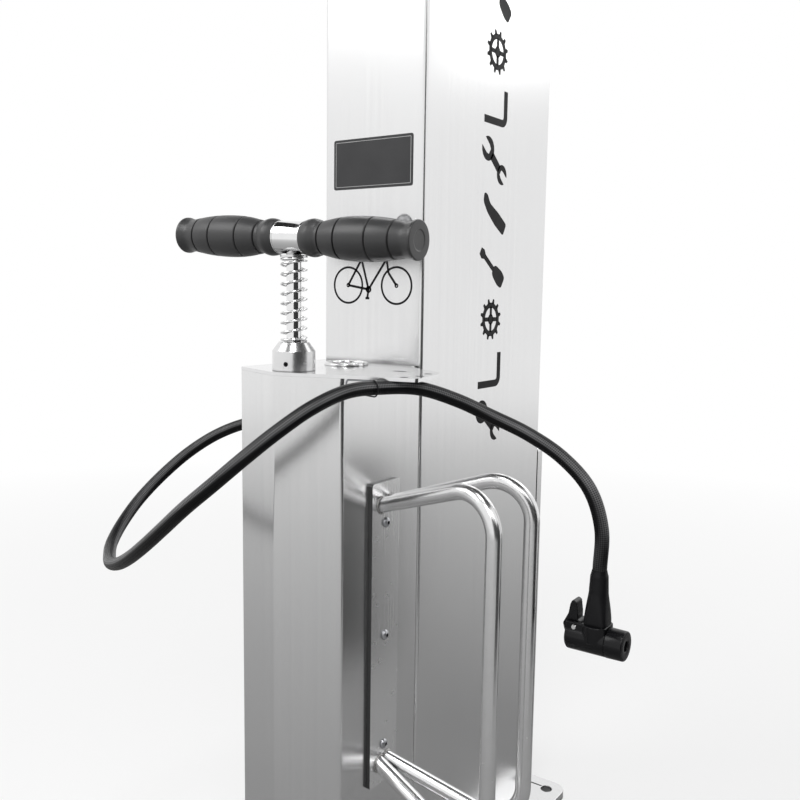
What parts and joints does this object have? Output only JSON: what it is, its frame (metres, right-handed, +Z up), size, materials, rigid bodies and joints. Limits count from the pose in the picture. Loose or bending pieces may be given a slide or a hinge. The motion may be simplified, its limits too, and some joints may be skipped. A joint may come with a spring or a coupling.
{
  "type": "bicycle repair station",
  "caption": "Folded stainless steel bicycle repair column with a built-in track pump, hose and lever head, tool shelf, front-wheel holder and two hanger arms.",
  "frame": {"origin": "centre of the four-anchor pattern on the underside of the base plate", "axes": "+Z up along the column; -Y is the pump end of the column; +X is the side with the wheel holder and the tool shelf"},
  "size_m": [0.5668, 0.5369, 1.404],
  "materials": {
    "brushed_steel": "brushed",
    "polished_steel": "polished",
    "satin_steel": "satin",
    "zinc_steel": "zinc plated",
    "brass": "satin",
    "grip_rubber": "satin",
    "seal_rubber": "matte",
    "hose_rubber": "satin, fine fabric impression",
    "neck_rubber": "satin",
    "black_plastic": "satin"
  },
  "bodies": {
    "station": {"base_plate": "brushed_steel", "column": "brushed_steel", "column_cap": "brushed_steel", "pump_housing": "brushed_steel", "holder_plate": "brushed_steel", "hanger_plate": "brushed_steel", "rear_cover": "brushed_steel", "housing_lid": "polished_steel", "lid_ring": "polished_steel", "hose_hook": "polished_steel", "holder_rail_front": "polished_steel", "holder_rail_rear": "polished_steel", "holder_bolts": "polished_steel", "dome_plug": "polished_steel", "hanger_arms": "polished_steel", "hanger_bolts": "polished_steel", "cover_screws": "polished_steel", "spring": "polished_steel", "lever_pin": "polished_steel", "barrel_cap": "satin_steel", "pump_barrel": "satin_steel", "housing_bolts": "zinc_steel", "housing_nuts": "zinc_steel", "barrel_foot": "zinc_steel", "barrel_bracket": "zinc_steel", "cap_set_screw": "zinc_steel", "gland_nut": "zinc_steel", "holder_nuts": "zinc_steel", "hanger_nuts": "zinc_steel", "rod_bush": "brass", "check_valve": "brass", "outlet_pipe": "brass", "arm_sleeves": "grip_rubber", "rod_wiper": "seal_rubber", "rear_gasket": "seal_rubber", "valve_seal": "seal_rubber", "hose_strap": "seal_rubber", "hose": "hose_rubber", "head_neck": "neck_rubber", "hose_gland": "black_plastic", "arm_end_caps": "black_plastic", "head_body": "black_plastic", "head_collar": "black_plastic"},
    "spring_seat": {"spring_washer": "satin_steel"},
    "plunger": {"piston": "satin_steel", "piston_seal": "seal_rubber"},
    "handle": {"piston_rod": "polished_steel", "piston_nut": "zinc_steel", "handle_hub": "polished_steel", "handle_core": "zinc_steel", "grip_left": "grip_rubber", "grip_right": "grip_rubber", "hub_set_screw": "zinc_steel"},
    "thumb_lever": {"head_lever": "black_plastic"}
  },
  "joints": [
    {"name": "handle_cushion", "type": "slide", "parent": "station", "child": "spring_seat", "axis": [0, 0, 1], "range_m": [-0.04, 0], "stiffness_N_per_m": 1500, "springref_m": 0.02, "deforming": ["spring"]},
    {"name": "pump_stroke", "type": "slide", "parent": "spring_seat", "child": "plunger", "axis": [0, 0, 1], "range_m": [0, 0.4]},
    {"name": "handle_turn", "type": "hinge", "parent": "plunger", "child": "handle", "pos_m": [0, -0.179, 0.682], "axis": [0, 0, 1], "range_deg": [-45, 45]},
    {"name": "lever_swing", "type": "hinge", "parent": "station", "child": "thumb_lever", "pos_m": [0.2393, -0.088, 0.36], "axis": [0, -1, 0], "range_deg": [0, 80]}
  ]
}
